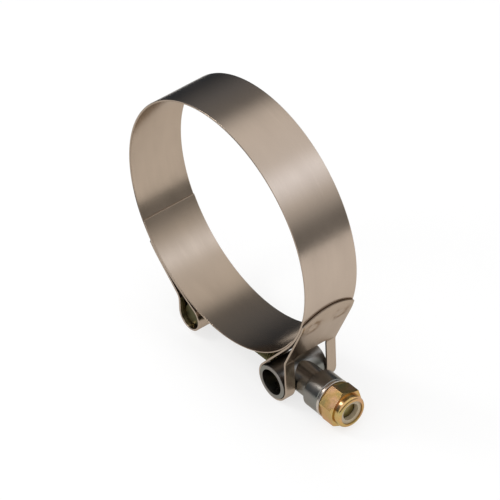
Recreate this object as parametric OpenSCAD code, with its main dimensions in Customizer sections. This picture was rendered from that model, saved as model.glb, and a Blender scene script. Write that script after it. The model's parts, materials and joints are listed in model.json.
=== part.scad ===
// T-bolt band clamp: a stainless band with two folded loops, an inner bridge, a T-bolt,
// a tubular trunnion, a washer and a nylon-insert lock nut.
// Millimetres. The origin is the centre of the ring, Y is the ring's axis, the bolt runs along +X
// below the ring, and Z is up.

/* [Band] */
// Inside diameter of the band
ring_d = 80; // [74:0.5:90]
// Width of the band
band_w = 19.05; // [17:0.05:24]
// Thickness of the band's strip
band_t = 0.64; // [0.5:0.02:0.9]
// Gap between a folded-back end and the band under it
fold_gap = 0.06; // [0.04:0.01:0.1]
// Height of the arch on each folded-back end
end_arch = 3.8; // [2:0.1:4.5]
// Length of each folded-back end on the band, at its middle
end_len = 9.1; // [9:0.1:11]
// Angle on the ring where the trunnion end's fold leaves it, below the horizontal
trunnion_fold_a = 26; // [22:0.5:29]
// Angle on the ring where the T-head end's fold leaves it, below the horizontal
head_fold_a = 45; // [42:0.5:49]
// Radius of the bend in each outer leg, at the middle of the strip
fold_bend_r = 3; // [2:0.1:4]

/* [Spot welds] */
// Diameter of a spot weld
weld_d = 4.2; // [3:0.1:4.4]
// Distance between the two welds of a pair, across the band
weld_pitch = 10.2; // [7:0.1:11]
// Depth of the mark that a weld leaves
weld_mark = 0.1; // [0.05:0.01:0.2]
// Distance of the welds from the tip of the folded-back end
weld_setback = 6.8; // [6:0.1:6.9]

/* [Bridge] */
// Thickness of the bridge's strip
bridge_t = 0.4; // [0.3:0.02:0.6]
// Clearance between the bridge and the band round it
bridge_gap = 0.02; // [0.01:0.01:0.06]
// How far the bridge runs past the trunnion end's inner leg, as an angle on the ring
bridge_tip_a = 9; // [6:0.5:14]
// How far the bridge runs past the T-head end's inner leg, as an angle on the ring
bridge_root_a = 30; // [26:0.5:40]
// Height of the arch on the bridge's free tip
bridge_arch = 2; // [1:0.1:3]

/* [T-bolt] */
// Major diameter of the bolt
bolt_d = 6.35; // [5:0.05:7]
// Gap between the bolt and the circle of the band's inside
bolt_gap = 0.05; // [0.05:0.05:1.5]
// Distance of the T-head's axis from the ring's vertical middle plane
head_x = 15.3; // [14.2:0.1:18]
// Diameter of the T-head's cross bar
head_d = 7.8; // [7.2:0.1:8.6]
// Length of the T-head's cross bar
head_len = 14; // [13:0.1:15]
// How far the bolt, the trunnion and the nut lie towards the front of the slots
side_shift = 1; // [0:0.1:1.1]
// Chamfer on the ends of the cross bar and of the bolt
bolt_chamfer = 0.6; // [0.3:0.1:0.9]
// Radius between the shank and the cross bar
head_fillet = 0.6; // [0.3:0.1:0.7]
// Gap between the bolt's end and the insert, which it has not reached yet
bolt_end_gap = 0.1; // [0.05:0.05:0.5]

/* [Loops] */
// Clearance round the T-head in its loop
head_clear = 0.2; // [0.15:0.05:0.4]
// Clearance round the trunnion's tube in its loop
tube_clear = 0.12; // [0.08:0.02:0.3]
// Width of the slot in the T-head's loop
head_slot_w = 9.4; // [9.2:0.1:11]
// Width of the slot in the trunnion's loop
trunnion_slot_w = 12; // [11:0.1:13]
// Room in the slots above the bolt
slot_room = 1.2; // [0.8:0.1:2]
// How far the trunnion's slot runs up past the bend in the outer leg
slot_past_bend = 1.6; // [0.5:0.1:3]
// Corner radius of the slots
slot_corner_r = 1.6; // [0.8:0.1:2.5]

/* [Trunnion] */
// Distance of the tube's axis from the ring's vertical middle plane
trunnion_x = 23.7; // [22:0.1:28]
// Outside diameter of the tube
tube_d = 11; // [9.8:0.1:12]
// Wall of the tube
tube_wall = 1.3; // [1:0.1:1.6]
// Length of the tube
tube_len = 16.8; // [15.5:0.1:18]
// How far the tube lies further to the front than the bolt
tube_shift = 0.5; // [0:0.1:0.8]
// Diameter of the neck
neck_d = 9.5; // [8.6:0.1:10.4]
// Distance from the tube's axis to the start of the collar's flare
neck_len = 9.8; // [8.6:0.1:12]
// Diameter of the collar
collar_d = 12.2; // [11.2:0.1:13.5]
// Length of the collar with its flare
collar_len = 7.1; // [6:0.1:9]
// Radius of the collar's front edge
collar_edge_r = 0.5; // [0.3:0.1:0.8]
// Radial clearance of the bolt in the trunnion
bore_clear = 0.25; // [0.15:0.05:0.4]
// Edge break at the ends of the tube
tube_edge = 0.15; // [0.05:0.05:0.4]

/* [Washer] */
// Outside diameter of the washer
washer_d = 12.4; // [11.4:0.1:14]
// Thickness of the washer
washer_t = 1; // [0.8:0.1:1.6]
// Radial clearance of the bolt in the washer
washer_clear = 0.2; // [0.15:0.05:0.4]
// Rounding of the washer's edge
washer_edge_r = 0.2; // [0.1:0.05:0.35]

/* [Lock nut] */
// Width of the hexagon across its flats
nut_af = 11.11; // [10:0.01:13]
// Height of the nut over all
nut_h = 7.94; // [7:0.02:9]
// Height of the hexagon
hex_h = 5.6; // [5:0.1:6]
// Diameter of the round crown that holds the insert
crown_d = 10.2; // [9.4:0.1:10.8]
// Wall of the crown
crown_wall = 0.6; // [0.5:0.05:0.7]
// Radius of the crown's rolled rim
crown_rim_r = 1; // [0.7:0.1:1.2]
// Angle of the chamfers on the hexagon's corners
hex_chamfer_a = 30; // [20:1:40]
// Turn of the nut on the bolt
nut_turn = 50; // [0:1:59]
// Radial clearance between the bolt and the nut
thread_clear = 0.05; // [0.02:0.01:0.08]
// Gap between the faces of the collar, the washer and the nut
face_gap = 0.04; // [0.02:0.01:0.1]

/* [Nylon insert] */
// Height of the insert
insert_h = 1.6; // [1.2:0.1:1.9]
// Clearance between the insert and the crown
insert_gap = 0.02; // [0.01:0.01:0.05]
// How much smaller in radius than the bolt the insert's bore is, to grip its thread
insert_grip = 0.4; // [0.2:0.05:0.6]

/* [Hidden] */
$fn = 96;

// Overshoot of cuts past the faces that they open
over = 1;
// How far a straight leg may stand proud of the curved piece that it laps into
lap_rise = 0.02;
// How far a straight leg lies to one side of the exact tangent
lap_shift = 0.01;

// Middle radii of the ring and of the folded-back layer on it
ring_r = ring_d/2;
strip_r = ring_r + band_t/2;
layer_r = strip_r + band_t + fold_gap;

// The bolt's axis and the middles of the two loops
bolt_y = -side_shift;
tube_y = bolt_y - tube_shift;
bolt_z = -(ring_r + bolt_gap + bolt_d/2);
trunnion_c = [trunnion_x, bolt_z];
head_c = [-head_x, bolt_z];
trunnion_loop_r = tube_d/2 + tube_clear + band_t/2;
head_loop_r = head_d/2 + head_clear + band_t/2;

// Angles on the ring, counted from +X towards +Z
trunnion_leave_a = leave_angle(1, trunnion_c, trunnion_loop_r);
head_leave_a = leave_angle(-1, head_c, head_loop_r);
trunnion_fold = -trunnion_fold_a;
head_fold = head_fold_a - 180;
end_span_a = end_len/layer_r*180/PI;
trunnion_end_a = trunnion_fold + end_span_a;
head_end_a = head_fold - end_span_a;
bridge_tip = trunnion_leave_a + bridge_tip_a;
bridge_root = head_leave_a - bridge_root_a;

// Radii of the bridge
bridge_out_r = ring_r - bridge_gap;
bridge_in_r = bridge_out_r - bridge_t;

// Places along the bolt
collar_x = trunnion_x + neck_len;
collar_front_x = collar_x + collar_len;
washer_x = collar_front_x + face_gap;
nut_x = washer_x + washer_t + face_gap;
nut_top_x = nut_x + nut_h;
insert_x = nut_top_x - crown_wall - insert_gap - insert_h;
bolt_end_x = insert_x - bolt_end_gap;

// Round sizes that are shared by more than one piece
bolt_r = bolt_d/2;
bore_r = bolt_r + bore_clear;
tube_bore_r = tube_d/2 - tube_wall;
collar_flare = (collar_d - neck_d)/2;
nut_bore_r = bolt_r + thread_clear;
nut_corner_r = nut_af/2/cos(30);
crown_bore_r = crown_d/2 - crown_wall;

// A point on a circle round the origin, in the ring's plane
function polar(r, a) = [r*cos(a), r*sin(a)];

// The angle on the ring where a straight leg leaves it to pass round the far side of a loop
function leave_angle(side, c, loop_r) =
    atan2(c[1], c[0]) + side*acos((strip_r + loop_r)/norm(c));

// The height where an upright leg at x meets the tangent of the folded-back layer at angle a
function bend_z(x, a) = (layer_r - x*cos(a))/sin(a);

// How far a straight leg laps into a curved piece of middle radius r
function lap(r) = sqrt(2*r*lap_rise);

// The radius of an arch of a given height across the band
function arch_r(height) = (band_w*band_w/4 + height*height)/(2*height);

// Stands an outline drawn in XY up in the ring's plane and gives it the band's width
module strip_width() {
    rotate([90, 0, 0])
        linear_extrude(band_w, center = true)
            children();
}

// Turns a shape so that its own Z lies along the bolt, at a place on the bolt's axis
module on_bolt(x) {
    translate([x, bolt_y, bolt_z])
        rotate([0, 90, 0])
            children();
}

// Moves a shape to an angle on the ring, with its own X outwards and its own Z along the ring
module at_angle(a) {
    rotate([0, -a, 0])
        children();
}

// The outline of a curved piece of strip: middle radius r, from angle a0 to a1 round the point c
module arc_outline(c, r, a0, a1, t) {
    far = 2*(r + t);
    steps = 6;
    translate(c)
        intersection() {
            difference() {
                circle(r = r + t/2);
                circle(r = r - t/2);
            }
            polygon([[0, 0], for (i = [0:steps]) polar(far, a0 + (a1 - a0)*i/steps)]);
        }
}

// The outline of a straight piece of the band whose middle runs from p to q, between curves of
// radius r_p and r_q. It lies off the tangent on its left for a way of 1, and on its right for -1.
module leg_outline(p, q, r_p, r_q, way) {
    d = q - p;
    translate(p)
        rotate(atan2(d[1], d[0]))
            translate([-lap(r_p), way*lap_shift - band_t/2])
                square([lap(r_p) + norm(d) + lap(r_q), band_t]);
}

// What an arched end leaves of the strip's corners: the tip is at angle a and points along the ring for a
// way of 1 and back for -1, and nothing nearer the axis than r0 is touched
module arch_cut(r0, a, way, height) {
    arch = arch_r(height);
    depth = band_t + over;
    difference() {
        at_angle(a)
            translate([r0 - over, -band_w/2 - over, way > 0 ? -height - over : -over])
                cube([depth + over, band_w + 2*over, height + 2*over]);
        at_angle(a)
            translate([r0 - 2*over, 0, -way*arch])
                rotate([0, 90, 0])
                    cylinder(r = arch, h = depth + 4*over);
        rotate([90, 0, 0])
            cylinder(r = r0, h = band_w + 4*over, center = true);
    }
}

// A slot across a strip: its middle plane is Y = 0, and its end has rounded corners at the height top
module slot_cut(x0, x1, bottom, top, w) {
    translate([x0, 0, 0])
        rotate([90, 0, 90])
            linear_extrude(x1 - x0)
                union() {
                    translate([-w/2, bottom])
                        square([w, top - slot_corner_r - bottom]);
                    translate([-w/2 + slot_corner_r, bottom])
                        square([w - 2*slot_corner_r, top - bottom]);
                    for (s = [-1, 1])
                        translate([s*(w/2 - slot_corner_r), top - slot_corner_r])
                            circle(r = slot_corner_r);
                }
}

// The outline of one end of the band: inner leg, loop, upright outer leg, bend, sloping leg and the layer
// folded back on the ring. side is 1 at the trunnion and -1 at the T-head.
module end_outline(side, c, loop_r, leave_a, fold_a, end_a) {
    upright_x = c[0] + side*loop_r;
    turn = side > 0 ? -fold_a : fold_a + 180;
    corner_z = bend_z(upright_x, fold_a);
    reach = fold_bend_r*tan(turn/2);
    upright_top = [upright_x, corner_z - reach];
    slope_end = [upright_x, corner_z] + reach*[side*sin(turn), cos(turn)];
    bend_c = [upright_x + side*fold_bend_r, corner_z - reach];
    leg_outline(polar(strip_r, leave_a), c - polar(loop_r, leave_a), strip_r, loop_r, side);
    if (side > 0)
        arc_outline(c, loop_r, leave_a + 180, 360, band_t);
    else
        arc_outline(c, loop_r, -180, leave_a + 180, band_t);
    leg_outline([upright_x, c[1]], upright_top, loop_r, fold_bend_r, side);
    if (side > 0)
        arc_outline(bend_c, fold_bend_r, fold_a + 180, 180, band_t);
    else
        arc_outline(bend_c, fold_bend_r, 0, fold_a + 180, band_t);
    leg_outline(slope_end, polar(layer_r, fold_a), fold_bend_r, layer_r, -side);
    arc_outline([0, 0], layer_r, min(fold_a, end_a), max(fold_a, end_a), band_t);
}

// The pair of welds that hold a folded-back end: the nuggets, or the marks on its outside
module weld_pair(end_a, side, r0, r1) {
    at_angle(end_a - side*weld_setback/layer_r*180/PI)
        for (s = [-1, 1])
            translate([r0, s*weld_pitch/2, 0])
                rotate([0, 90, 0])
                    cylinder(d = weld_d, h = r1 - r0);
}

module band() {
    slot_top = bolt_z + bolt_r + slot_room;
    loop_bottom = bolt_z - tube_d;
    upright_x = trunnion_x + trunnion_loop_r;
    long_slot_top = bend_z(upright_x, trunnion_fold) + slot_past_bend;
    layer_out_r = layer_r + band_t/2;
    color("silver")
        difference() {
            union() {
                strip_width()
                    union() {
                        arc_outline([0, 0], strip_r, trunnion_leave_a, head_leave_a + 360, band_t);
                        end_outline(1, trunnion_c, trunnion_loop_r, trunnion_leave_a, trunnion_fold,
                                    trunnion_end_a);
                        end_outline(-1, head_c, head_loop_r, head_leave_a, head_fold, head_end_a);
                    }
                weld_pair(trunnion_end_a, 1, strip_r, layer_r);
                weld_pair(head_end_a, -1, strip_r, layer_r);
            }
            slot_cut(trunnion_x - tube_d, trunnion_x + tube_d, loop_bottom, slot_top, trunnion_slot_w);
            slot_cut(upright_x - 3*band_t, upright_x + tube_d, bolt_z, long_slot_top, trunnion_slot_w);
            slot_cut(-head_x - head_d, -head_x + head_d, loop_bottom, slot_top, head_slot_w);
            arch_cut(strip_r + (band_t + fold_gap)/2, trunnion_end_a, 1, end_arch);
            arch_cut(strip_r + (band_t + fold_gap)/2, head_end_a, -1, end_arch);
            weld_pair(trunnion_end_a, 1, layer_out_r - weld_mark, layer_out_r + over);
            weld_pair(head_end_a, -1, layer_out_r - weld_mark, layer_out_r + over);
        }
}

module bridge() {
    mid_r = (bridge_in_r + bridge_out_r)/2;
    color("lightgray")
        difference() {
            strip_width()
                arc_outline([0, 0], mid_r, bridge_root, bridge_tip, bridge_t);
            arch_cut(bridge_in_r - bridge_t, bridge_tip, 1, bridge_arch);
        }
}

// The T-head's cross bar, along Y, with chamfered ends
module cross_bar() {
    translate([-head_x, bolt_y, bolt_z])
        rotate([90, 0, 0])
            rotate_extrude()
                polygon([
                    [0, -head_len/2],
                    [head_d/2 - bolt_chamfer, -head_len/2],
                    [head_d/2, -head_len/2 + bolt_chamfer],
                    [head_d/2, head_len/2 - bolt_chamfer],
                    [head_d/2 - bolt_chamfer, head_len/2],
                    [0, head_len/2]
                ]);
}

module t_bolt() {
    shank_len = bolt_end_x + head_x;
    color("darkkhaki")
        union() {
            cross_bar();
            on_bolt(-head_x)
                rotate_extrude()
                    polygon([
                        [0, 0],
                        [bolt_r + head_fillet, 0],
                        [bolt_r + head_fillet, head_d/2 - head_fillet],
                        [bolt_r, head_d/2 + head_fillet],
                        [bolt_r, shank_len - bolt_chamfer],
                        [bolt_r - bolt_chamfer, shank_len],
                        [0, shank_len]
                    ]);
        }
}

// The trunnion's neck and collar as one profile along the bolt, from the tube's axis
module neck_and_collar() {
    collar_r = collar_d/2;
    front = neck_len + collar_len;
    on_bolt(trunnion_x)
        rotate_extrude()
            difference() {
                union() {
                    square([neck_d/2, front - collar_edge_r]);
                    translate([0, neck_len])
                        square([collar_r, collar_len - collar_edge_r]);
                    square([collar_r - collar_edge_r, front]);
                    translate([collar_r - collar_edge_r, front - collar_edge_r])
                        circle(r = collar_edge_r);
                }
                translate([neck_d/2, -over])
                    square([collar_flare + over, neck_len + over]);
                translate([collar_r, neck_len])
                    circle(r = collar_flare);
            }
}

module trunnion() {
    tube_r = tube_d/2;
    color("dimgray")
        difference() {
            union() {
                translate([trunnion_x, tube_y, bolt_z])
                    rotate([90, 0, 0])
                        rotate_extrude()
                            polygon([
                                [0, -tube_len/2],
                                [tube_r - tube_edge, -tube_len/2],
                                [tube_r, -tube_len/2 + tube_edge],
                                [tube_r, tube_len/2 - tube_edge],
                                [tube_r - tube_edge, tube_len/2],
                                [0, tube_len/2]
                            ]);
                neck_and_collar();
            }
            translate([trunnion_x, tube_y, bolt_z])
                rotate([90, 0, 0])
                    cylinder(r = tube_bore_r, h = tube_len + 2*over, center = true);
            on_bolt(trunnion_x - tube_d)
                cylinder(r = bore_r, h = tube_d + neck_len + collar_len + over);
        }
}

module washer() {
    washer_r = washer_d/2;
    hole_r = bolt_r + washer_clear;
    color("gainsboro")
        on_bolt(washer_x)
            rotate_extrude()
                translate([hole_r, 0])
                    union() {
                        square([washer_r - hole_r - washer_edge_r, washer_t]);
                        translate([0, washer_edge_r])
                            square([washer_r - hole_r, washer_t - 2*washer_edge_r]);
                        for (z = [washer_edge_r, washer_t - washer_edge_r])
                            translate([washer_r - hole_r - washer_edge_r, z])
                                circle(r = washer_edge_r);
                    }
}

// The round body that trims the hexagon's corners at both ends
module hex_trim() {
    rise = (nut_corner_r + over - nut_af/2)*tan(hex_chamfer_a);
    rotate_extrude()
        polygon([
            [0, 0],
            [nut_af/2, 0],
            [nut_corner_r + over, rise],
            [nut_corner_r + over, hex_h - rise],
            [nut_af/2, hex_h],
            [0, hex_h]
        ]);
}

// The crown above the hexagon, with its rolled rim
module crown() {
    crown_r = crown_d/2;
    rotate_extrude()
        union() {
            square([crown_r, nut_h - crown_rim_r]);
            square([crown_r - crown_rim_r, nut_h]);
            translate([crown_r - crown_rim_r, nut_h - crown_rim_r])
                circle(r = crown_rim_r);
        }
}

module lock_nut() {
    insert_seat = insert_x - insert_gap - nut_x;
    mouth_r = crown_bore_r - crown_wall;
    color("goldenrod")
        on_bolt(nut_x)
            rotate([0, 0, -nut_turn])
                difference() {
                    union() {
                        intersection() {
                            cylinder(r = nut_corner_r, h = hex_h, $fn = 6);
                            hex_trim();
                        }
                        crown();
                    }
                    translate([0, 0, -over])
                        cylinder(r = nut_bore_r, h = nut_h + 2*over);
                    translate([0, 0, insert_seat])
                        cylinder(r = crown_bore_r, h = insert_h + 2*insert_gap);
                    translate([0, 0, insert_seat])
                        cylinder(r = mouth_r, h = nut_h);
                }
}

module nylon_insert() {
    color("antiquewhite")
        on_bolt(insert_x)
            difference() {
                cylinder(r = crown_bore_r - insert_gap, h = insert_h);
                translate([0, 0, -over])
                    cylinder(r = bolt_r - insert_grip, h = insert_h + 2*over);
            }
}

band();
bridge();
t_bolt();
trunnion();
washer();
lock_nut();
nylon_insert();
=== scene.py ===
"""The looks of a T-bolt band clamp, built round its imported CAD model. All lengths are metres."""

import json
import math

import bmesh
import bpy
import numpy as np
from mathutils import Matrix, Vector


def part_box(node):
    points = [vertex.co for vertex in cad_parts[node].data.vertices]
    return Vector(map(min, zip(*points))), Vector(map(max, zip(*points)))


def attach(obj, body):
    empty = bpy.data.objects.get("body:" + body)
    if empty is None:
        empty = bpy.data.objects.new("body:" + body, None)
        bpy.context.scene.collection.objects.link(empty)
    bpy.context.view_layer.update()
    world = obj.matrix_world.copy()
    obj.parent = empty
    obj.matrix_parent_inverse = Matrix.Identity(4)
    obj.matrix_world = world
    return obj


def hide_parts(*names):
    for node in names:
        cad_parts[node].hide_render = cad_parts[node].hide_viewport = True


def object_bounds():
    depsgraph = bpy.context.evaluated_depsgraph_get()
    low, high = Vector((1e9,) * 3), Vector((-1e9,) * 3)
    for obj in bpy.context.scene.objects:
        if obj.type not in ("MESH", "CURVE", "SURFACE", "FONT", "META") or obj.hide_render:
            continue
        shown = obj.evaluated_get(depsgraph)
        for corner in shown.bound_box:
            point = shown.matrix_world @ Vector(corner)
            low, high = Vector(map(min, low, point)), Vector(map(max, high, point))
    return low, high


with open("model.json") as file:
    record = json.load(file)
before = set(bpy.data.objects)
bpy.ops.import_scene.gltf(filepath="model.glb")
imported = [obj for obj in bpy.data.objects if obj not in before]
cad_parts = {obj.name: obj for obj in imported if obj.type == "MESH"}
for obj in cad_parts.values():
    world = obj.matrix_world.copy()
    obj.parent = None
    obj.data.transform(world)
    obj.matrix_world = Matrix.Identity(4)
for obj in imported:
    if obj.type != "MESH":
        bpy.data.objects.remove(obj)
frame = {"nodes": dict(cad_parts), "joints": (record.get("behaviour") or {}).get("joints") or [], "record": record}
cad_low, cad_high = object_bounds()

# Sizes that the CAD model states
band_low, band_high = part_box("band")
bolt_low, bolt_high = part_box("t_bolt")
trunnion_low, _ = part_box("trunnion")
joints = {joint["name"]: joint for joint in frame["joints"]}
BOLT_Y, BOLT_Z = joints["nut_spin"]["pos_m"][1:]
BRIDGE_IN_R = frame["record"]["mounts"][0]["dims"]["r_mm"] / 1000
BAND_W = band_high.y - band_low.y
HEAD_D = bolt_high.z - bolt_low.z
HEAD_LEN = bolt_high.y - bolt_low.y
BOLT_END_X = bolt_high.x

# Flat blanks are made in millimetres, which suit the tolerances of Blender's mesh tools
MM = 1000

# Band
BAND_T = 0.00064
FOLD_GAP = 0.00006
END_ARCH = 0.0038
END_LEN = 0.0091
TRUNNION_FOLD = math.radians(-26)
HEAD_FOLD = math.radians(-135)
BEND_R = 0.003
EDGE_R = 0.00014
STRIP_R = band_high.z - BAND_T / 2
LAYER_R = STRIP_R + BAND_T + FOLD_GAP
# The turn between two bends of a strip's mesh, on the ring and in the loops
RING_STEP = math.radians(2)
LOOP_STEP = math.radians(5)

# Spot welds
WELD_D = 0.0042
WELD_PITCH = 0.0102
WELD_SETBACK = 0.0068
WELD_DEPTH = 0.0001
# How far inwards a weld's dent gets deeper, how far round it the mesh is fine, and how fine
WELD_SOFT = 0.0012
WELD_REACH = 0.003
WELD_CELL = 0.00025

# Loops round the trunnion and the T-head
TUBE_D = 0.011
TUBE_PLAY = 0.00012
HEAD_PLAY = 0.0002
TUBE_LOOP_R = TUBE_D / 2 + TUBE_PLAY + BAND_T / 2
HEAD_LOOP_R = HEAD_D / 2 + HEAD_PLAY + BAND_T / 2
TRUNNION_X = trunnion_low.x + TUBE_D / 2
HEAD_X = bolt_low.x + HEAD_D / 2
TUBE_SLOT_W = 0.012
HEAD_SLOT_W = 0.0094
SLOT_ROOM = 0.0012
SLOT_PAST_BEND = 0.0016
SLOT_CORNER_R = 0.0016

# Bridge
BRIDGE_T = 0.0004
BRIDGE_TIP = math.radians(9)
BRIDGE_ROOT = math.radians(30)
BRIDGE_ARCH = 0.002

# Bolt and its thread
BOLT_R = 0.003175
BOLT_CHAMFER = 0.0006
HEAD_FILLET = 0.0006
THREAD_PITCH = 0.0254 / 28
THREAD_DEPTH = 0.6134 * THREAD_PITCH
THREAD_START_X = 0.004
# Rows of the mesh along one turn of the thread
THREAD_ROWS = 12
# Edges of the bolt that turn more than this are sharp
SHARP_TURN = math.radians(40)

# Looks: how dull the edges along a strip are, and those that are sheared or punched
SLIT_DULL = 0.2
SHEARED_DULL = 0.42
# The bridge's root is dull from the start of its rounded edge
ROOT_DULL = 3.5
# The face of a strip that lies inside the ring is less bright than the other
INNER_TINT = (0.88, 0.86, 0.82, 1)
# How the shine of the steel is tinted where it is seen at a flat angle
GRAZING_TINT = (0.7, 0.66, 0.62, 1)
# How burnt the strip looks from the middle of a weld outwards, and the colour of burnt steel
WELD_TINT = [(0, 0.1), (0.15, 0.25), (0.3, 0.9), (0.5, 0.9), (0.75, 0.25), (1, 0)]
BURNT_STEEL = (0.2, 0.12, 0.065, 1)
# The T-head is painted darker than the thread, as painted shade for the hollow of its loop. The colour darkens
# between these two places along X
PAINTED_SHADE_OLIVE = (0.08, 0.078, 0.038, 1)
PAINTED_SHADE_X = (0.04, 0.01)

# Light tent, by the angle in degrees from +X towards +Z: how far it is from the ring's axis
TENT_REACH = [(0, 0.45), (15, 0.45), (80, 0.15), (130, 0.15), (160, 0.3), (180, 0.3)]
# By the same angle, how bright its light is and how cool
TENT_LIGHT = [
    (0, 0.22, 0), (11, 0.24, 0), (32, 0.82, 0), (52, 1.66, 0.5), (66, 1.02, 0.1), (95, 0.98, 0),
    (105, 0.88, 0), (120, 0.23, 0.1), (145, 0.2, 0.5), (180, 0.065, 1.2),
]
TENT_HALF_LENGTH = 1
TENT_STEPS = 60
TENT_FOOT_X = -0.16
# A low card beside the ring, as dark as the tent's foot
CARD_X = -0.065
CARD_HEIGHT = 0.014

# Key lamp, with its power in watts
KEY_PLACE = (-0.073, -0.083, 0.095)
KEY_TARGET = (0.037, -0.004, -0.038)
KEY_SIZE = 0.0444
KEY_POWER = 0.0485

# Camera, in the frame of the photograph, which is tilted about Y against the model
PHOTO_SIZE = 500
PHOTO_TILT = math.radians(3.04)
CAMERA_AZIMUTH = math.radians(50.86)
CAMERA_ELEVATION = math.radians(41.82)
CAMERA_DISTANCE = 1.5
CAMERA_RIGHT = 0.00246
CAMERA_UP = -0.010326
CAMERA_FOCUS_PX = 5178.8
SENSOR = 36


# Strip geometry

def polar(radius, angle):
    """A point on a circle round the ring's axis, in the ring's plane."""
    return np.array([radius * math.cos(angle), radius * math.sin(angle)])


class Line:
    """A straight stretch of a strip's middle line."""

    def __init__(self, start, end):
        self.start, self.end = np.array(start), np.array(end)
        self.length = float(np.linalg.norm(self.end - self.start))
        self.step = self.length

    def at(self, s):
        heading = (self.end - self.start) / self.length
        return self.start + heading * s, heading

    def reversed(self):
        return Line(self.end, self.start)


class Arc:
    """A round stretch of a strip's middle line. A positive turn runs from +X towards +Z."""

    def __init__(self, centre, radius, start, turn, step=LOOP_STEP):
        self.centre, self.radius = np.array(centre), radius
        self.start, self.turn = start, turn
        self.length = radius * abs(turn)
        self.step = radius * step
        self.step_angle = step

    def at(self, s):
        way = math.copysign(1, self.turn)
        angle = self.start + way * s / self.radius
        heading = way * np.array([-math.sin(angle), math.cos(angle)])
        return self.centre + polar(self.radius, angle), heading

    def reversed(self):
        return Arc(self.centre, self.radius, self.start + self.turn, -self.turn, self.step_angle)


class Path:
    """A strip's middle line, as stretches end to end."""

    def __init__(self, stretches):
        self.stretches = stretches
        self.starts = np.cumsum([0] + [stretch.length for stretch in stretches])
        self.length = float(self.starts[-1])

    def at(self, s):
        index = int(np.searchsorted(self.starts, s, side="right")) - 1
        index = min(max(index, 0), len(self.stretches) - 1)
        return self.stretches[index].at(s - self.starts[index])

    def place(self, s, y, n):
        """The point at s along the strip, y across it and n out of its right-hand face."""
        point, heading = self.at(s)
        x, z = point + n * np.array([heading[1], -heading[0]])
        return x, y, z

    def cuts(self):
        """The places along the strip where its mesh is cut, so that it can bend there."""
        found = []
        for start, stretch in zip(self.starts, self.stretches):
            count = max(1, round(stretch.length / stretch.step))
            found += [start + stretch.length * i / count for i in range(count)]
        return found[1:]

    def where_height(self, z, low, high):
        """The place between low and high along the strip where its middle line is at height z."""
        rising = self.at(high)[0][1] > self.at(low)[0][1]
        for _ in range(50):
            middle = (low + high) / 2
            if (self.at(middle)[0][1] < z) == rising:
                low = middle
            else:
                high = middle
        return (low + high) / 2


def leave_angle(side, centre, loop_r):
    """The angle on the ring where a straight leg leaves it to pass round the far side of a loop."""
    reach = math.acos((STRIP_R + loop_r) / np.linalg.norm(centre))
    return math.atan2(centre[1], centre[0]) + side * reach


def bend_height(x, fold):
    """The height where an upright leg at x meets the tangent of the folded-back layer."""
    return (LAYER_R - x * math.cos(fold)) / math.sin(fold)


def end_stretches(side, centre, loop_r, fold):
    """One end of the band from the ring to its tip. side is 1 at the trunnion and -1 at the T-head."""
    leave = leave_angle(side, centre, loop_r)
    upright_x = centre[0] + side * loop_r
    slope = -fold if side > 0 else fold + math.pi
    loop_turn = math.pi - leave if side > 0 else -(leave + 2 * math.pi)
    corner = np.array([upright_x, bend_height(upright_x, fold)])
    reach = BEND_R * math.tan(slope / 2)
    upright_top = corner - [0, reach]
    slope_end = corner + reach * np.array([side * math.sin(slope), math.cos(slope)])
    bend_centre = upright_top + [side * BEND_R, 0]
    return [
        Line(polar(STRIP_R, leave), centre - polar(loop_r, leave)),
        Arc(centre, loop_r, leave + math.pi, loop_turn),
        Line([upright_x, centre[1]], upright_top),
        Arc(bend_centre, BEND_R, math.pi if side > 0 else 0, -side * slope),
        Line(slope_end, polar(LAYER_R, fold)),
        Arc([0, 0], LAYER_R, fold, side * END_LEN / LAYER_R, RING_STEP),
    ]


def round_corner(x, y, radius, start, steps=8):
    """Points round a quarter of a circle, from the angle start."""
    angles = [start + math.pi / 2 * i / steps for i in range(steps + 1)]
    return [(x + radius * math.cos(a), y + radius * math.sin(a)) for a in angles]


def slot_outline(start, end, width):
    """A slot with rounded corners, along the strip from start to end."""
    inset = width / 2 - SLOT_CORNER_R
    corners = [(end, 1, 0), (start, 1, 1), (start, -1, 2), (end, -1, 3)]
    points = []
    for s, side, quarter in corners:
        s += SLOT_CORNER_R if s == start else -SLOT_CORNER_R
        points += round_corner(s, side * inset, SLOT_CORNER_R, quarter * math.pi / 2)
    return points


def arched_end(tip, height, way, steps=24):
    """Points across the strip on an arched end, whose tip points along the strip for a way of 1."""
    radius = (BAND_W**2 / 4 + height**2) / (2 * height)
    half = math.asin(BAND_W / 2 / radius)
    angles = [half * (2 * i / steps - 1) for i in range(steps + 1)]
    return [(tip + way * radius * (math.cos(a) - 1), way * radius * math.sin(a)) for a in angles]


def flat_blank(outlines, thickness):
    """A flat plate with rounded edges, in millimetres. The first outline is its rim."""
    curve = bpy.data.curves.new("blank", "CURVE")
    curve.dimensions = "2D"
    curve.fill_mode = "BOTH"
    curve.bevel_depth = EDGE_R * MM
    curve.bevel_resolution = 2
    curve.extrude = (thickness / 2 - EDGE_R) * MM
    curve.offset = -EDGE_R * MM
    for outline in outlines:
        spline = curve.splines.new("POLY")
        spline.points.add(len(outline) - 1)
        for point, (s, y) in zip(spline.points, outline):
            point.co = (s * MM, y * MM, 0, 1)
        spline.use_cyclic_u = True
    holder = bpy.data.objects.new("blank", curve)
    bpy.context.scene.collection.objects.link(holder)
    evaluated = holder.evaluated_get(bpy.context.evaluated_depsgraph_get())
    mesh = bpy.data.meshes.new_from_object(evaluated)
    bpy.data.objects.remove(holder)
    bpy.data.curves.remove(curve)
    return mesh


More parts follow.
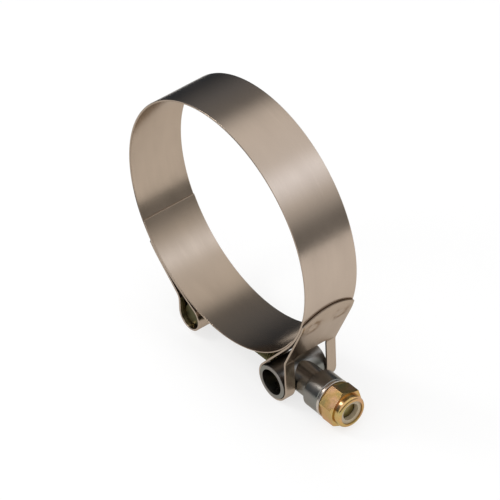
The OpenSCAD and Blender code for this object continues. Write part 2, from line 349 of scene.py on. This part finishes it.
def cut_plate(bm, place, across, low=None, high=None):
    """Cuts a flat plate along a line across it, or along it between low and high."""
    def inside(element):
        if low is None:
            return True
        points = element.verts if hasattr(element, "verts") else [element]
        return all(low <= vert.co.x <= high for vert in points)

    geometry = [e for group in (bm.verts, bm.edges, bm.faces) for e in group if inside(e)]
    normal = (1, 0, 0) if across else (0, 1, 0)
    centre = (place, 0, 0) if across else (0, place, 0)
    bmesh.ops.bisect_plane(bm, geom=geometry, dist=1e-5, plane_co=centre, plane_no=normal)


def weld_dent(distance):
    """How far a spot weld's mark goes below the strip's face, by the distance from its middle."""
    inside = min(max((WELD_D / 2 - distance) / WELD_SOFT, 0), 1)
    return WELD_DEPTH * inside * inside * (3 - 2 * inside)


def cut_blank(bm, path, welds):
    """Cuts a flat blank where it bends, and into a fine grid round each weld."""
    for s in path.cuts():
        cut_plate(bm, s * MM, True)
    steps = round(WELD_REACH / WELD_CELL)
    offsets = [i * WELD_CELL for i in range(-steps, steps + 1)]
    for s in sorted({weld[0] for weld in welds}):
        for offset in offsets:
            cut_plate(bm, (s + offset) * MM, True)
        low, high = (s - WELD_REACH) * MM, (s + WELD_REACH) * MM
        for y in sorted({weld[1] for weld in welds}):
            for offset in offsets:
                cut_plate(bm, (y + offset) * MM, False, low, high)


def edge_dullness(s, y, n, thickness, start_dull):
    """How dull a strip is at a place on its rounded edges. It is 0 on its faces."""
    dull = start_dull if s < 2 * EDGE_R else SHEARED_DULL
    if abs(y) > BAND_W / 2 - 2 * EDGE_R:
        dull = SLIT_DULL
    return min(dull * max((thickness / 2 - abs(n)) / EDGE_R, 0), dull, 1)


def fold_strip(name, path, outlines, thickness, welds=(), start_dull=SHEARED_DULL):
    """A strip of metal: a flat blank that is cut, marked by its welds and bent along a path."""
    mesh = flat_blank(outlines, thickness)
    bm = bmesh.new()
    bm.from_mesh(mesh)
    bmesh.ops.remove_doubles(bm, verts=bm.verts[:], dist=1e-4)
    cut_blank(bm, path, welds)

    uv = bm.loops.layers.uv.new("strip")
    mark = bm.verts.layers.float.new("weld")
    edge = bm.verts.layers.float.new("edge")
    inner = bm.verts.layers.float.new("inner")
    for face in bm.faces:
        face.smooth = True
        for loop in face.loops:
            loop[uv].uv = (loop.vert.co.x / MM, loop.vert.co.y / MM)
    for vert in bm.verts:
        s, y, n = (value / MM for value in vert.co)
        vert[edge] = edge_dullness(s, y, n, thickness, start_dull)
        vert[inner] = n < 0
        distances = [math.hypot(s - weld_s, y - weld_y) for weld_s, weld_y in welds]
        vert[mark] = min(distances, default=1)
        # The face that is inside on the ring is outside on the folded ends, where the welds dent it
        if n < -0.45 * thickness:
            n += weld_dent(vert[mark])
        vert.co = path.place(s, y, n)
    bmesh.ops.recalc_face_normals(bm, faces=bm.faces[:])
    bm.to_mesh(mesh)
    bm.free()
    mesh.name = name
    strip = bpy.data.objects.new(name, mesh)
    bpy.context.scene.collection.objects.link(strip)
    weighted = strip.modifiers.new("even_normals", "WEIGHTED_NORMAL")
    weighted.weight = 90
    return strip


def make_band():
    """The band: its two folded ends, its slots, its arched tips and its welds."""
    tube_c = np.array([TRUNNION_X, BOLT_Z])
    head_c = np.array([HEAD_X, BOLT_Z])
    tube_end = end_stretches(1, tube_c, TUBE_LOOP_R, TRUNNION_FOLD)
    head_end = end_stretches(-1, head_c, HEAD_LOOP_R, HEAD_FOLD)
    start = leave_angle(1, tube_c, TUBE_LOOP_R)
    turn = leave_angle(-1, head_c, HEAD_LOOP_R) + 2 * math.pi - start
    ring = Arc([0, 0], STRIP_R, start, turn, RING_STEP)
    stretches = [stretch.reversed() for stretch in reversed(tube_end)] + [ring] + head_end
    path = Path(stretches)

    low_slot = BOLT_Z + BOLT_R + SLOT_ROOM
    long_slot = bend_height(TRUNNION_X + TUBE_LOOP_R, TRUNNION_FOLD) + SLOT_PAST_BEND
    # Where the two loops stand in the row of stretches
    tube_loop, head_loop = 4, 8
    tube_slot = slot_outline(
        path.where_height(long_slot, path.starts[1], path.starts[tube_loop]),
        path.where_height(low_slot, path.starts[tube_loop + 1], path.starts[tube_loop + 2]),
        TUBE_SLOT_W,
    )
    head_slot = slot_outline(
        path.where_height(low_slot, path.starts[head_loop - 1], path.starts[head_loop]),
        path.where_height(low_slot, path.starts[head_loop + 1], path.starts[head_loop + 3]),
        HEAD_SLOT_W,
    )
    rim = arched_end(0, END_ARCH, -1) + arched_end(path.length, END_ARCH, 1)
    welds = [
        (s, side * WELD_PITCH / 2)
        for s in (WELD_SETBACK, path.length - WELD_SETBACK)
        for side in (-1, 1)
    ]
    return fold_strip("band_strip", path, [rim, tube_slot, head_slot], BAND_T, welds)


def make_bridge():
    """The bridge: a thin arc inside the band, with an arched tip at the trunnion end."""
    middle_r = BRIDGE_IN_R + BRIDGE_T / 2
    tube_leave = leave_angle(1, np.array([TRUNNION_X, BOLT_Z]), TUBE_LOOP_R)
    head_leave = leave_angle(-1, np.array([HEAD_X, BOLT_Z]), HEAD_LOOP_R)
    start = head_leave - BRIDGE_ROOT
    turn = tube_leave + BRIDGE_TIP - start
    path = Path([Arc([0, 0], middle_r, start, turn, RING_STEP)])
    rim = [(0, BAND_W / 2), (0, -BAND_W / 2)] + arched_end(path.length, BRIDGE_ARCH, 1)
    return fold_strip("bridge_strip", path, [rim], BRIDGE_T, start_dull=ROOT_DULL)


# Bolt geometry

def mesh_object(name, vertices, faces):
    """An object from plain lists of points and faces, with smooth shading between sharp edges."""
    mesh = bpy.data.meshes.new(name)
    mesh.from_pydata(vertices, [], faces)
    mesh.validate()
    mesh.shade_smooth()
    mesh.set_sharp_from_angle(angle=SHARP_TURN)
    made = bpy.data.objects.new(name, mesh)
    bpy.context.scene.collection.objects.link(made)
    return made


def rod(name, stations, radius_at, place, columns=64):
    """A closed rod: radius_at(x, angle) at each station along it, set in space by place(x, a, b)."""
    vertices, faces = [], []
    for x in stations:
        for j in range(columns):
            angle = 2 * math.pi * j / columns
            radius = radius_at(x, angle)
            vertices.append(place(x, radius * math.cos(angle), radius * math.sin(angle)))
    for i in range(len(stations) - 1):
        for j in range(columns):
            k = (j + 1) % columns
            row, next_row = i * columns, (i + 1) * columns
            faces.append((row + j, row + k, next_row + k, next_row + j))
    last = (len(stations) - 1) * columns
    faces.append(tuple(range(columns - 1, -1, -1)))
    faces.append(tuple(range(last, last + columns)))
    return mesh_object(name, vertices, faces)


def thread_dip(x, angle):
    """How deep a right-hand thread is cut at a place on the bolt, from 0 at a crest to 1 in a root."""
    phase = ((x - THREAD_START_X) / THREAD_PITCH + angle / (2 * math.pi)) % 1
    crest, root = 0.14, 0.2
    flank = (1 - crest - root) / 2
    distance = abs(phase - 0.5)
    ramp = min(max((0.5 - crest / 2 - distance) / flank, 0), 1)
    return ramp * ramp * (3 - 2 * ramp) * 0.3 + ramp * 0.7


def shank_radius(x, angle):
    """The bolt's radius: a fillet at the T-head, a plain shank, a thread and a chamfered end."""
    from_head = x - HEAD_X - HEAD_D / 2
    fillet = min(max((HEAD_FILLET - from_head) / 2, 0), HEAD_FILLET)
    run_in = min(max((x - THREAD_START_X) / (1.5 * THREAD_PITCH), 0), 1)
    radius = BOLT_R + fillet - THREAD_DEPTH * run_in * thread_dip(x, angle)
    return min(radius, BOLT_R - BOLT_CHAMFER + BOLT_END_X - x)


def make_bolt():
    """The T-bolt: a chamfered cross bar and a threaded shank, joined into one piece."""
    half, radius = HEAD_LEN / 2, HEAD_D / 2

    def bar_radius(y, _):
        return min(radius, radius - BOLT_CHAMFER + half - abs(y))

    bar = rod(
        "t_bolt_bar",
        [-half, -half + BOLT_CHAMFER, half - BOLT_CHAMFER, half],
        bar_radius,
        lambda y, a, b: (HEAD_X + b, BOLT_Y + y, BOLT_Z + a),
    )
    neck_end = HEAD_X + radius + HEAD_FILLET
    rows = math.ceil((BOLT_END_X - THREAD_START_X) / THREAD_PITCH * THREAD_ROWS)
    stations = [HEAD_X, neck_end - 2 * HEAD_FILLET, neck_end, THREAD_START_X]
    stations += list(np.linspace(THREAD_START_X, BOLT_END_X, rows + 1))[1:]
    shank = rod(
        "t_bolt_threaded",
        stations,
        shank_radius,
        lambda x, a, b: (x, BOLT_Y + a, BOLT_Z + b),
    )
    join = shank.modifiers.new("join", "BOOLEAN")
    join.operation = "UNION"
    join.solver = "EXACT"
    join.object = bar
    joined = shank.evaluated_get(bpy.context.evaluated_depsgraph_get())
    mesh = bpy.data.meshes.new_from_object(joined)
    shank.modifiers.clear()
    shank.data = mesh
    mesh.shade_smooth()
    mesh.set_sharp_from_angle(angle=SHARP_TURN)
    bpy.data.objects.remove(bar)
    return shank


# Materials

class Shader:
    """A principled material and short ways to add nodes to it."""

    def __init__(self, name, **values):
        self.material = bpy.data.materials.new(name)
        self.material.use_nodes = True
        self.nodes = self.material.node_tree.nodes
        self.links = self.material.node_tree.links
        self.surface = self.nodes["Principled BSDF"]
        for socket, value in values.items():
            self.surface.inputs[socket.replace("_", " ")].default_value = value

    def node(self, kind, inputs=(), **settings):
        """A new node. inputs are pairs of a socket and a value, or an output to link there."""
        made = self.nodes.new("ShaderNode" + kind)
        for key, value in settings.items():
            setattr(made, key, value)
        for socket, value in inputs:
            if isinstance(value, bpy.types.NodeSocket):
                self.links.new(value, made.inputs[socket])
            else:
                made.inputs[socket].default_value = value
        return made

    def noise(self, vector, scale, detail=3.0, roughness=0.5):
        """The grey value of a noise texture."""
        made = self.node(
            "TexNoise",
            [("Vector", vector), ("Scale", scale), ("Detail", detail), ("Roughness", roughness)],
        )
        return made.outputs["Fac"]

    def stretched(self, vector, scale):
        """A vector with each of its axes scaled."""
        return self.node("Mapping", [("Vector", vector), ("Scale", scale)]).outputs["Vector"]

    def spread(self, value, low, high, source=(0.3, 0.7)):
        """A value whose source range is spread from low to high."""
        ranges = [("From Min", source[0]), ("From Max", source[1]), ("To Min", low), ("To Max", high)]
        return self.node("MapRange", [("Value", value)] + ranges).outputs["Result"]

    def mix(self, factor, first, second, blend="MIX"):
        """A colour between two others, or one that is tinted by another."""
        # A mix node has sockets for each type of value: these are its factor and its two colours
        inputs = [(0, factor), (6, first), (7, second)]
        return self.node("Mix", inputs, data_type="RGBA", blend_type=blend).outputs[2]

    def product(self, first, second):
        """One value times another."""
        return self.node("Math", [(0, first), (1, second)], operation="MULTIPLY").outputs[0]

    def total(self, first, second):
        """One value and another together."""
        return self.node("Math", [(0, first), (1, second)], operation="ADD").outputs[0]

    def ramp(self, value, stops):
        """A colour ramp through stops of (place, colour)."""
        made = self.node("ValToRGB", [("Fac", value)])
        elements = made.color_ramp.elements
        elements.remove(elements[1])
        elements[0].position, elements[0].color = stops[0]
        for place, colour in stops[1:]:
            elements.new(place).color = colour
        return made.outputs["Color"]

    def bump(self, height, strength, distance):
        """Links a height to the surface's normal."""
        made = self.node("Bump", [("Height", height), ("Strength", strength), ("Distance", distance)])
        self.links.new(made.outputs["Normal"], self.surface.inputs["Normal"])

    def link(self, output, socket):
        self.links.new(output, self.surface.inputs[socket])

    def object_place(self):
        """The place on the object, in metres."""
        return self.node("TexCoord").outputs["Object"]


def tone(colour, factor):
    """A colour made lighter or darker, as a shader takes it."""
    return tuple(value * factor for value in colour) + (1,)


def strip_steel(name, colour):
    """Rolled stainless strip: fine lines along it, faint clouds, dull edges and burnt welds."""
    shader = Shader(name, Metallic=1, Specular_Tint=GRAZING_TINT)
    strip = shader.node("UVMap", uv_map="strip").outputs["UV"]
    lines = shader.noise(shader.stretched(strip, (40, 9000, 1)), 1, 4, 0.6)
    clouds = shader.noise(shader.stretched(strip, (60, 140, 1)), 1, 3)
    base = shader.mix(shader.spread(lines, 0, 1), tone(colour, 0.94), tone(colour, 1.05))
    base = shader.mix(shader.spread(clouds, 0, 0.5), base, tone(colour, 0.9))
    inner = shader.node("Attribute", attribute_name="inner").outputs["Fac"]
    base = shader.mix(inner, base, INNER_TINT, "MULTIPLY")
    weld = shader.node("Attribute", attribute_name="weld").outputs["Fac"]
    radius = WELD_D / 2
    burnt = shader.ramp(
        shader.spread(weld, 0, 1, (0.4 * radius, 2 * radius)),
        [(place, (level,) * 3 + (1,)) for place, level in WELD_TINT],
    )
    flecks = shader.noise(shader.stretched(strip, (280, 280, 1)), 1, 3, 0.6)
    burnt = shader.product(burnt, shader.spread(flecks, 0.1, 1, (0.42, 0.58)))
    base = shader.mix(burnt, base, BURNT_STEEL)
    edge = shader.node("Attribute", attribute_name="edge").outputs["Fac"]
    base = shader.mix(edge, base, tone(colour, 0.1))
    shader.link(base, "Base Color")
    dull = shader.spread(edge, 0, 0.2, (0, 1))
    shader.link(shader.total(shader.spread(clouds, 0.19, 0.27), dull), "Roughness")
    shader.bump(lines, 0.06, 0.00002)
    return shader.material


def plated_steel(name, colour, tints, rough, shade_span=None):
    """Plated steel: patches of two other tints, and small pits. It may take painted shade, darker from one x to
    another.
    """
    shader = Shader(name, Metallic=1, Specular_Tint=GRAZING_TINT)
    place = shader.object_place()
    patches = shader.noise(place, 225, 3)
    pits = shader.noise(place, 2700, 2)
    stops = zip((0.36, 0.5, 0.64), (tints[0], colour, tints[1]))
    base = shader.ramp(patches, [(level, tone(tint, 1)) for level, tint in stops])
    base = shader.mix(shader.spread(pits, 0.25, 0), base, tone(colour, 0.6))
    # Painted shade: the colour darkens towards a dark olive between two places along X
    if shade_span:
        along = shader.node("SeparateXYZ", [(0, place)]).outputs["X"]
        base = shader.mix(shader.spread(along, 0, 1, shade_span), base, PAINTED_SHADE_OLIVE)
    shader.link(base, "Base Color")
    shader.link(shader.spread(patches, rough - 0.04, rough + 0.06), "Roughness")
    shader.bump(pits, 0.08, 0.00003)
    return shader.material


def natural_nylon(name, colour):
    """Natural nylon: slightly see-through, with a soft grain."""
    shader = Shader(
        name,
        Roughness=0.42,
        Subsurface_Weight=0.15,
        Subsurface_Radius=(0.0012, 0.001, 0.0008),
    )
    place = shader.object_place()
    cloud = shader.noise(place, 700, 3)
    grain = shader.noise(place, 5000, 2)
    base = shader.mix(shader.spread(cloud, 0, 1), tone(colour, 0.93), tone(colour, 1.04))
    shader.link(base, "Base Color")
    shader.bump(grain, 0.12, 0.00002)
    return shader.material


def dress(piece, material):
    """Gives a piece one material."""
    piece.data.materials.clear()
    piece.data.materials.append(material)


# Stage, light and camera

def rays_that_show(nodes, links):
    """1 for rays that show the stage: from the camera, off gloss or through glass."""
    path = nodes.new("ShaderNodeLightPath")
    shown = path.outputs["Is Camera Ray"]
    for name in ("Is Glossy Ray", "Is Transmission Ray"):
        larger = nodes.new("ShaderNodeMath")
        larger.operation = "MAXIMUM"
        links.new(shown, larger.inputs[0])
        links.new(path.outputs[name], larger.inputs[1])
        shown = larger.outputs[0]
    return shown


def stage_sheet(name, vertices, faces, material):
    """A sheet of the stage with one material."""
    mesh = bpy.data.meshes.new(name)
    mesh.from_pydata(vertices, [], faces)
    mesh.materials.append(material)
    sheet = bpy.data.objects.new(name, mesh)
    bpy.context.scene.collection.objects.link(sheet)
    return sheet


def bare_material(name):
    """An empty material, and its nodes and links."""
    material = bpy.data.materials.new(name)
    material.use_nodes = True
    material.node_tree.nodes.clear()
    return material, material.node_tree.nodes, material.node_tree.links


def white_floor():
    """A pale matt surface that looks white where it is shown and keeps soft shadows."""
    material, nodes, links = bare_material("white_floor")
    plain = nodes.new("ShaderNodeBsdfDiffuse")
    plain.inputs["Color"].default_value = (0.8, 0.8, 0.8, 1)
    shadowed = nodes.new("ShaderNodeBsdfDiffuse")
    shadowed.inputs["Color"].default_value = (0.3, 0.3, 0.3, 1)
    glow = nodes.new("ShaderNodeEmission")
    glow.inputs["Strength"].default_value = 0.7
    white = nodes.new("ShaderNodeAddShader")
    links.new(shadowed.outputs[0], white.inputs[0])
    links.new(glow.outputs[0], white.inputs[1])
    mixed = nodes.new("ShaderNodeMixShader")
    links.new(rays_that_show(nodes, links), mixed.inputs[0])
    links.new(plain.outputs[0], mixed.inputs[1])
    links.new(white.outputs[0], mixed.inputs[2])
    output = nodes.new("ShaderNodeOutputMaterial")
    links.new(mixed.outputs[0], output.inputs["Surface"])
    return material


def make_floor(height):
    """A white floor that keeps a soft shadow."""
    half = 1.5
    corners = [(x * half, y * half, height) for x, y in ((-1, -1), (1, -1), (1, 1), (-1, 1))]
    floor = stage_sheet("floor", corners, [(0, 1, 2, 3)], white_floor())


def tent_glow():
    """The tent's light, by the turn from its right foot to its left one."""
    material, nodes, links = bare_material("light_tent")
    turn = nodes.new("ShaderNodeAttribute")
    turn.attribute_name = "turn"
    ramp = nodes.new("ShaderNodeValToRGB")
    brightest = max(level for _, level, _ in TENT_LIGHT)
    elements = ramp.color_ramp.elements
    elements.remove(elements[1])
    for i, (angle, level, cool) in enumerate(TENT_LIGHT):
        element = elements[0] if i == 0 else elements.new(angle / 180)
        element.position = angle / 180
        element.color = tone((1 - 0.15 * cool, 1, 1 + 0.25 * cool), level / brightest)
    glow = nodes.new("ShaderNodeEmission")
    glow.inputs["Strength"].default_value = brightest
    output = nodes.new("ShaderNodeOutputMaterial")
    links.new(turn.outputs["Fac"], ramp.inputs["Fac"])
    links.new(ramp.outputs["Color"], glow.inputs["Color"])
    links.new(glow.outputs[0], output.inputs["Surface"])
    return material


def make_tent(floor_height):
    """A lit arch along the ring's axis with a dark side and a low dark card, seen only in gloss."""
    turns = [i / TENT_STEPS for i in range(TENT_STEPS + 1)]
    radii = np.interp([180 * turn for turn in turns], *zip(*TENT_REACH))
    arch = [tuple(polar(radius, math.pi * turn)) for radius, turn in zip(radii, turns)]
    profile = [(arch[0][0], floor_height)] + arch + [(TENT_FOOT_X, floor_height)]
    card = [(CARD_X, floor_height), (CARD_X, floor_height + CARD_HEIGHT)]
    ends = (-TENT_HALF_LENGTH, TENT_HALF_LENGTH)
    vertices = [(x, y, z) for x, z in profile + card for y in ends]
    rows = list(range(len(profile) - 1)) + [len(profile)]
    faces = [(2 * i, 2 * i + 1, 2 * i + 3, 2 * i + 2) for i in rows]
    tent = stage_sheet("light_tent", vertices, faces, tent_glow())
    layer = tent.data.attributes.new("turn", "FLOAT", "POINT")
    row_turns = [0] + turns + [1] + [1] * len(card)
    layer.data.foreach_set("value", [turn for turn in row_turns for _ in ends])
    tent.visible_camera = False
    tent.visible_diffuse = False
    tent.visible_shadow = False


def make_world():
    """A plain white surround."""
    world = bpy.data.worlds.new("studio")
    world.use_nodes = True
    world.node_tree.nodes["Background"].inputs["Color"].default_value = (1, 1, 1, 1)
    world.node_tree.nodes["Background"].inputs["Strength"].default_value = 1
    bpy.context.scene.world = world


def make_key(place, target, size, power):
    """A soft lamp at a place, turned to a target."""
    lamp = bpy.data.lights.new("key", "AREA")
    lamp.shape = "DISK"
    lamp.size = size
    lamp.energy = power
    key = bpy.data.objects.new("key", lamp)
    key.location = place
    key.rotation_mode = "QUATERNION"
    key.rotation_quaternion = (Vector(place) - Vector(target)).to_track_quat("Z", "Y")
    key.visible_camera = False
    bpy.context.scene.collection.objects.link(key)


def make_camera():
    """The camera of the photograph."""
    sin_a, cos_a = math.sin(CAMERA_AZIMUTH), math.cos(CAMERA_AZIMUTH)
    sin_e, cos_e = math.sin(CAMERA_ELEVATION), math.cos(CAMERA_ELEVATION)
    back = Vector((sin_a * cos_e, -cos_a * cos_e, sin_e))
    right = Vector((cos_a, sin_a, 0))
    up = back.cross(right)
    place = back * CAMERA_DISTANCE + right * CAMERA_RIGHT + up * CAMERA_UP
    tilt = Matrix.Rotation(PHOTO_TILT, 4, "Y")
    columns = [vector.to_4d() for vector in (right, up, back)]
    for column in columns:
        column.w = 0
    pose = Matrix((*columns, place.to_4d())).transposed()
    data = bpy.data.cameras.new("camera")
    data.sensor_width = SENSOR
    data.lens = SENSOR * CAMERA_FOCUS_PX / PHOTO_SIZE
    data.clip_start, data.clip_end = 0.01, 20
    camera = bpy.data.objects.new("camera", data)
    camera.matrix_world = tilt @ pose
    bpy.context.scene.collection.objects.link(camera)
    bpy.context.scene.camera = camera


# The pieces

strip = strip_steel("stainless_strip", (0.5, 0.405, 0.325))
band = make_band()
dress(band, strip)
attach(band, "clamp")
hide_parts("band")

bridge = make_bridge()
dress(bridge, strip)
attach(bridge, "clamp")
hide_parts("bridge")

bolt = make_bolt()
bolt_tints = [(0.3, 0.27, 0.11), (0.36, 0.26, 0.12)]
# The bolt gets painted shade towards its T-head, which sits deep in its loop
dress(bolt, plated_steel("bolt_zinc", (0.34, 0.27, 0.11), bolt_tints, 0.34, PAINTED_SHADE_X))
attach(bolt, "clamp")
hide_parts("t_bolt")

nodes = frame["nodes"]
trunnion_tints = [(0.225, 0.225, 0.2), (0.26, 0.235, 0.21)]
dress(nodes["trunnion"], plated_steel("trunnion_steel", (0.235, 0.222, 0.2), trunnion_tints, 0.3))
washer_tints = [(0.53, 0.48, 0.42), (0.6, 0.51, 0.44)]
dress(nodes["washer"], plated_steel("washer_zinc", (0.57, 0.5, 0.43), washer_tints, 0.28))
nut_tints = [(0.5, 0.4, 0.16), (0.62, 0.36, 0.2)]
dress(nodes["lock_nut"], plated_steel("yellow_zinc", (0.58, 0.36, 0.13), nut_tints, 0.22))
dress(nodes["nylon_insert"], natural_nylon("nylon", (0.47, 0.39, 0.27)))

# The stage
make_world()
make_floor(cad_low.z)
make_tent(cad_low.z)
make_key(KEY_PLACE, KEY_TARGET, KEY_SIZE, KEY_POWER)
make_camera()
bpy.context.scene.view_settings.view_transform = "Standard"
